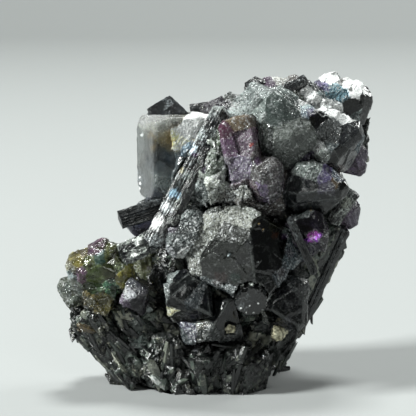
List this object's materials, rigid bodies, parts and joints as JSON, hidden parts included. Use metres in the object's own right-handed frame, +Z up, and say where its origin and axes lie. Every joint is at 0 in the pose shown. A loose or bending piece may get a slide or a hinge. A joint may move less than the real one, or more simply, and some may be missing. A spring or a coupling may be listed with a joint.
{
  "type": "fluorite with schorl specimen",
  "caption": "Small-cabinet mineral specimen: dark see-through fluorite octahedra grown over a leaning mass of black schorl needles and prisms, standing on a small broken flat.",
  "frame": {"origin": "centre of the flat break that the specimen rests on", "axes": "+Z up, -Y towards the best side with the main crystal, +X towards the side that the mass leans to"},
  "size_m": [0.0592, 0.0407, 0.0585],
  "materials": {
    "schorl": "black tourmaline crystal, glassy, striated along its length",
    "schorl_mass": "massive black tourmaline of felted needles, dull grey-green where weathered",
    "smoky": "smoky fluorite, see-through and dark, etched to a fine frost on some faces",
    "frosted": "grey fluorite with a rough etched surface",
    "violet": "violet fluorite, see-through, lightly etched",
    "green": "olive green fluorite with violet zones, lightly etched",
    "clear": "nearly colourless fluorite with a honey zone, smooth and see-through",
    "feldspar": "cream feldspar, cleaved and dull"
  },
  "bodies": {
    "root": {"schorl_mass": "schorl_mass", "sheaf_low_left": "schorl", "sheaf_low_front": "schorl", "sheaf_low_right": "schorl", "sheaf_top_right": "schorl", "sheaf_back": "schorl", "sheaf_back_left": "schorl", "schorl_long_prism": "schorl", "schorl_long_prism_twin": "schorl", "schorl_left_prism": "schorl", "schorl_left_peak": "schorl", "schorl_top_lath": "schorl", "schorl_top_stub": "schorl", "schorl_back_top_lath": "schorl", "schorl_cleft_prism": "schorl", "schorl_front_stub": "schorl", "schorl_left_knot": "schorl", "schorl_right_edge_lath": "schorl", "schorl_right_small": "schorl", "schorl_back_prism": "schorl", "schorl_back_prism_small": "schorl", "fluorite_main": "smoky", "fluorite_upper_gem": "smoky", "fluorite_crown": "smoky", "fluorite_right_gem": "smoky", "fluorite_front_octahedron": "smoky", "fluorite_low_blue": "smoky", "fluorite_low_right": "smoky", "fluorite_back_gem": "smoky", "fluorite_frosted_ridge": "frosted", "fluorite_frosted_small": "frosted", "fluorite_violet_pair": "violet", "fluorite_violet_flash": "violet", "fluorite_left_violet": "violet", "fluorite_right_bead": "violet", "fluorite_right_bead_low": "violet", "fluorite_top_mauve": "violet", "fluorite_top_left_mauve": "violet", "fluorite_back_violet": "violet", "fluorite_green_trio": "green", "fluorite_back_green": "green", "fluorite_clear_left": "clear", "feldspar_chip_right": "feldspar", "feldspar_chip_front": "feldspar"}
  },
  "joints": []
}
